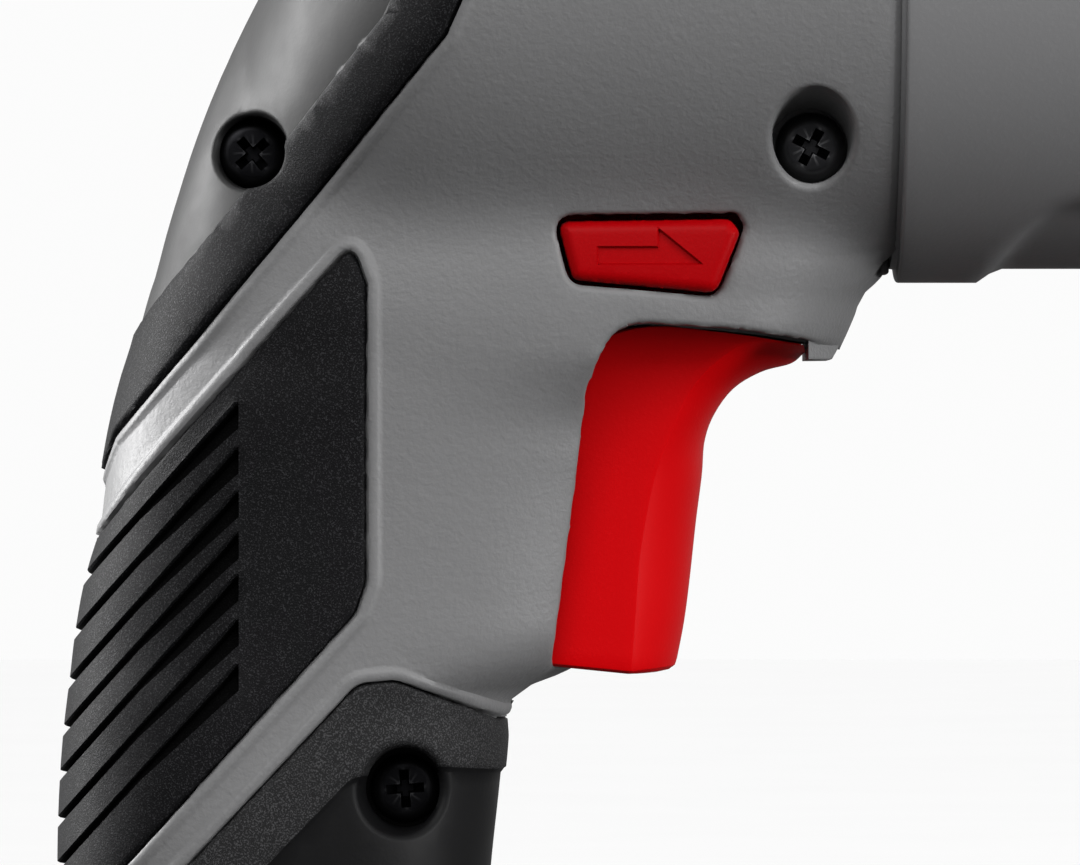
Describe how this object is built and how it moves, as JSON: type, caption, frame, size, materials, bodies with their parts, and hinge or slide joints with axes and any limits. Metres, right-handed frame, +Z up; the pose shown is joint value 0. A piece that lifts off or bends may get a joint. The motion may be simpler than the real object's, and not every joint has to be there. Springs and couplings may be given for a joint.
{
  "type": "cordless impact driver",
  "caption": "Pistol-grip cordless impact driver: grey shell with black soft grips, red trigger and direction selector, slide-on battery base.",
  "frame": {"origin": "centre of the battery's underside", "axes": "+X the way the bit points, +Z up through the grip, +Y to the tool's left"},
  "size_m": [0.155, 0.074, 0.225],
  "materials": {
    "grey_housing": "matte",
    "black_elastomer": "matte",
    "red_plastic": "satin",
    "black_plastic": "matte",
    "cast_alloy": "satin",
    "steel": "satin",
    "blackened_steel": "satin",
    "bronze": "satin",
    "copper": "satin",
    "circuit_board": "matte",
    "cell_wrap": "satin",
    "clear_lens": "clear"
  },
  "bodies": {
    "tool_body": {"housing_right": "grey_housing", "housing_left": "grey_housing", "hammer_case_cover": "grey_housing", "rear_overmould_right": "black_elastomer", "rear_overmould_left": "black_elastomer", "grip_pad_right": "black_elastomer", "grip_pad_left": "black_elastomer", "lower_overmould_right": "black_elastomer", "lower_overmould_left": "black_elastomer", "nose_bumper": "black_elastomer", "screw_front_low": "blackened_steel", "screw_front_high": "blackened_steel", "screw_rear_high": "blackened_steel", "screw_rear_low": "blackened_steel", "screw_grip": "blackened_steel", "screw_foot_rear": "blackened_steel", "screw_foot_front": "blackened_steel", "hammer_case": "cast_alloy", "anvil_bushing": "bronze", "case_plate": "steel", "ring_gear": "steel", "front_bearing": "steel", "rear_bearing": "steel", "motor_plate": "cast_alloy", "stator_core": "blackened_steel", "stator_winding_front": "copper", "stator_winding_rear": "copper", "motor_lead": "copper", "supply_lead": "copper", "switch_body": "black_plastic", "control_module": "black_plastic", "terminal_block": "black_plastic", "work_light_lens": "clear_lens", "work_light_board": "circuit_board", "trigger_spring": "steel"},
    "trigger": {"trigger": "red_plastic"},
    "direction_selector": {"direction_selector": "red_plastic"},
    "rotor": {"rotor": "steel", "cooling_fan": "black_plastic"},
    "spindle": {"spindle": "steel", "cam_ball_a": "steel", "cam_ball_b": "steel", "hammer_spring": "steel"},
    "planet_gear_a": {"planet_gear_a": "steel"},
    "planet_gear_b": {"planet_gear_b": "steel"},
    "hammer": {"hammer": "steel"},
    "anvil": {"anvil": "steel", "bit_lock_ball_a": "steel", "bit_lock_ball_b": "steel", "sleeve_washer": "steel", "sleeve_spring": "steel"},
    "bit_sleeve": {"bit_sleeve": "blackened_steel"},
    "battery": {"battery_case": "black_plastic", "battery_cover": "black_plastic", "cell_pack": "cell_wrap", "battery_board": "circuit_board", "latch_spring": "steel"},
    "battery_latch": {"battery_latch": "red_plastic"}
  },
  "joints": [
    {"name": "trigger_slide", "type": "slide", "parent": "tool_body", "child": "trigger", "axis": [-0.9925, 0, 0.1219], "range_m": [0, 0.006], "stiffness_N_per_m": 900, "springref_m": -0.004, "deforming": ["trigger_spring"]},
    {"name": "direction_selector_slide", "type": "slide", "parent": "tool_body", "child": "direction_selector", "axis": [0, 1, 0], "range_m": [-0.0025, 0.0025]},
    {"name": "spindle_spin", "type": "hinge", "parent": "tool_body", "child": "spindle", "pos_m": [0.03, 0, 0.193], "axis": [1, 0, 0], "continuous": true},
    {"name": "rotor_spin", "type": "hinge", "parent": "tool_body", "child": "rotor", "pos_m": [0, 0, 0.193], "axis": [1, 0, 0], "continuous": true},
    {"name": "planet_a_spin", "type": "hinge", "parent": "spindle", "child": "planet_gear_a", "pos_m": [0.0206, 0, 0.2014], "axis": [1, 0, 0], "continuous": true},
    {"name": "planet_b_spin", "type": "hinge", "parent": "spindle", "child": "planet_gear_b", "pos_m": [0.0206, 0, 0.1846], "axis": [1, 0, 0], "continuous": true},
    {"name": "anvil_spin", "type": "hinge", "parent": "tool_body", "child": "anvil", "pos_m": [0.07, 0, 0.193], "axis": [1, 0, 0], "continuous": true},
    {"name": "hammer_slide", "type": "slide", "parent": "spindle", "child": "hammer", "axis": [-1, 0, 0], "range_m": [0, 0.005], "stiffness_N_per_m": 12000, "springref_m": -0.003, "deforming": ["hammer_spring"]},
    {"name": "bit_sleeve_slide", "type": "slide", "parent": "anvil", "child": "bit_sleeve", "axis": [1, 0, 0], "range_m": [0, 0.004], "stiffness_N_per_m": 900, "springref_m": -0.002, "deforming": ["sleeve_spring"]},
    {"name": "battery_slide", "type": "slide", "parent": "tool_body", "child": "battery", "axis": [1, 0, 0], "range_m": [0, 0.097]},
    {"name": "battery_latch_press", "type": "slide", "parent": "battery", "child": "battery_latch", "axis": [0, 0, -1], "range_m": [0, 0.0035], "stiffness_N_per_m": 700, "springref_m": -0.004, "deforming": ["latch_spring"]}
  ],
  "couplings": [
    {"joint": "rotor_spin", "follows": "spindle_spin", "ratio": 5.25},
    {"joint": "planet_a_spin", "follows": "spindle_spin", "ratio": -2.6154},
    {"joint": "planet_b_spin", "follows": "spindle_spin", "ratio": -2.6154},
    {"joint": "anvil_spin", "follows": "spindle_spin", "ratio": 1}
  ]
}
